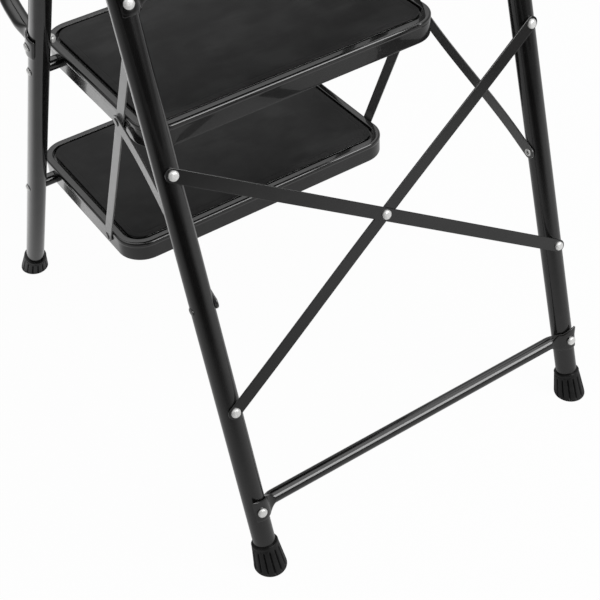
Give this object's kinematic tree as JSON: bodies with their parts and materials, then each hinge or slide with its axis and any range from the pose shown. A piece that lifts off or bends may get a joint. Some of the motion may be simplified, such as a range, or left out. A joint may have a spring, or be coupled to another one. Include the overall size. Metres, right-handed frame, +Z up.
{
  "type": "folding step stool",
  "caption": "Folding step stool with a grab hoop, side handrails, pressed treads with rubber mats and a hinged, cross-braced rear frame.",
  "frame": {"origin": "on the floor, midway between the outermost edges of the front and rear feet, on the stool's centre plane", "axes": "+Z up, -Y the side that is climbed, +X the stool's right side seen from behind the climber"},
  "size_m": [0.4964, 0.6902, 1.1475],
  "materials": {
    "black_paint": "gloss black powder coat on steel tube and sheet",
    "black_rubber": "matt moulded rubber with fluted sides",
    "mat_rubber": "matt rubber mat with a faint grain",
    "black_foam": "matt foam rubber sleeve",
    "zinc": "bright zinc plate on rivet and bolt heads"
  },
  "bodies": {
    "front": {"front_frame": "black_paint", "hoop_grip": "black_foam", "front_crossbar_1": "black_paint", "front_crossbar_2": "black_paint", "front_crossbar_3": "black_paint", "crossbar_bolt_1_right": "zinc", "crossbar_bolt_2_right": "zinc", "crossbar_bolt_3_right": "zinc", "crossbar_bolt_1_left": "zinc", "crossbar_bolt_2_left": "zinc", "crossbar_bolt_3_left": "zinc", "front_foot_right": "black_rubber", "front_foot_left": "black_rubber", "handrail_right": "black_paint", "handrail_left": "black_paint", "handrail_bolt_low_right": "zinc", "handrail_bolt_high_right": "zinc", "handrail_bolt_low_left": "zinc", "handrail_bolt_high_left": "zinc", "handrail_grip_right": "black_foam", "handrail_grip_left": "black_foam", "hinge_bracket_right": "black_paint", "hinge_bracket_left": "black_paint", "hinge_pin_right": "zinc", "hinge_pin_left": "zinc"},
    "tread_1": {"tread_1_pan": "black_paint", "tread_1_mat": "mat_rubber", "tread_1_rivet_right": "zinc", "tread_1_rivet_left": "zinc"},
    "tread_2": {"tread_2_pan": "black_paint", "tread_2_mat": "mat_rubber", "tread_2_rivet_right": "zinc", "tread_2_rivet_left": "zinc"},
    "platform": {"platform_pan": "black_paint", "platform_mat": "mat_rubber", "platform_rivet_right": "zinc", "platform_rivet_left": "zinc"},
    "link_right": {"link_strap_right": "black_paint"},
    "link_left": {"link_strap_left": "black_paint"},
    "rear": {"rear_leg_right": "black_paint", "rear_leg_left": "black_paint", "rear_foot_right": "black_rubber", "rear_foot_left": "black_rubber", "rear_lower_crossbar": "black_paint", "rear_upper_crossbar": "black_paint", "lower_crossbar_rivet_right": "zinc", "lower_crossbar_rivet_left": "zinc", "upper_crossbar_rivet_right": "zinc", "upper_crossbar_rivet_left": "zinc", "cross_brace_outer": "black_paint", "cross_brace_inner": "black_paint", "brace_rivet_high_right": "zinc", "brace_rivet_high_left": "zinc", "brace_rivet_low_right": "zinc", "brace_rivet_low_left": "zinc", "brace_centre_rivet": "zinc", "strut_foot_pin_right": "zinc", "strut_foot_pin_left": "zinc"},
    "right_strut": {"strut_right": "black_paint"},
    "left_strut": {"strut_left": "black_paint"}
  },
  "joints": [
    {"name": "tread_1_fold", "type": "hinge", "parent": "front", "child": "tread_1", "pos_m": [0, -0.23053, 0.2075], "axis": [1, 0, 0], "range_deg": [0, 58.5]},
    {"name": "tread_2_fold", "type": "hinge", "parent": "front", "child": "tread_2", "pos_m": [0, -0.12727, 0.4364], "axis": [1, 0, 0], "range_deg": [0, 58.5]},
    {"name": "platform_fold", "type": "hinge", "parent": "front", "child": "platform", "pos_m": [0, -0.02402, 0.6653], "axis": [1, 0, 0], "range_deg": [0, 58.5]},
    {"name": "link_right_turn", "type": "hinge", "parent": "tread_1", "child": "link_right", "pos_m": [0, -0.07233, 0.2113], "axis": [1, 0, 0], "range_deg": [-58.5, 0]},
    {"name": "link_left_turn", "type": "hinge", "parent": "tread_1", "child": "link_left", "pos_m": [0, -0.07233, 0.2113], "axis": [1, 0, 0], "range_deg": [-58.5, 0]},
    {"name": "rear_fold", "type": "hinge", "parent": "front", "child": "rear", "pos_m": [0, 0.09367, 0.82891], "axis": [1, 0, 0], "range_deg": [-37.4, 0]},
    {"name": "right_strut_turn", "type": "hinge", "parent": "rear", "child": "right_strut", "pos_m": [0, 0.23228, 0.3328], "axis": [1, 0, 0], "range_deg": [-37.1, 0]},
    {"name": "left_strut_turn", "type": "hinge", "parent": "rear", "child": "left_strut", "pos_m": [0, 0.23228, 0.3328], "axis": [1, 0, 0], "range_deg": [-37.1, 0]}
  ],
  "couplings": [
    {"joint": "tread_2_fold", "follows": "tread_1_fold", "ratio": 1},
    {"joint": "platform_fold", "follows": "tread_1_fold", "ratio": 1},
    {"joint": "link_right_turn", "follows": "tread_1_fold", "ratio": -1},
    {"joint": "link_left_turn", "follows": "tread_1_fold", "ratio": -1},
    {"joint": "rear_fold", "follows": "tread_1_fold", "ratio": -0.63851},
    {"joint": "right_strut_turn", "follows": "tread_1_fold", "ratio": -0.63259},
    {"joint": "left_strut_turn", "follows": "tread_1_fold", "ratio": -0.63259}
  ]
}
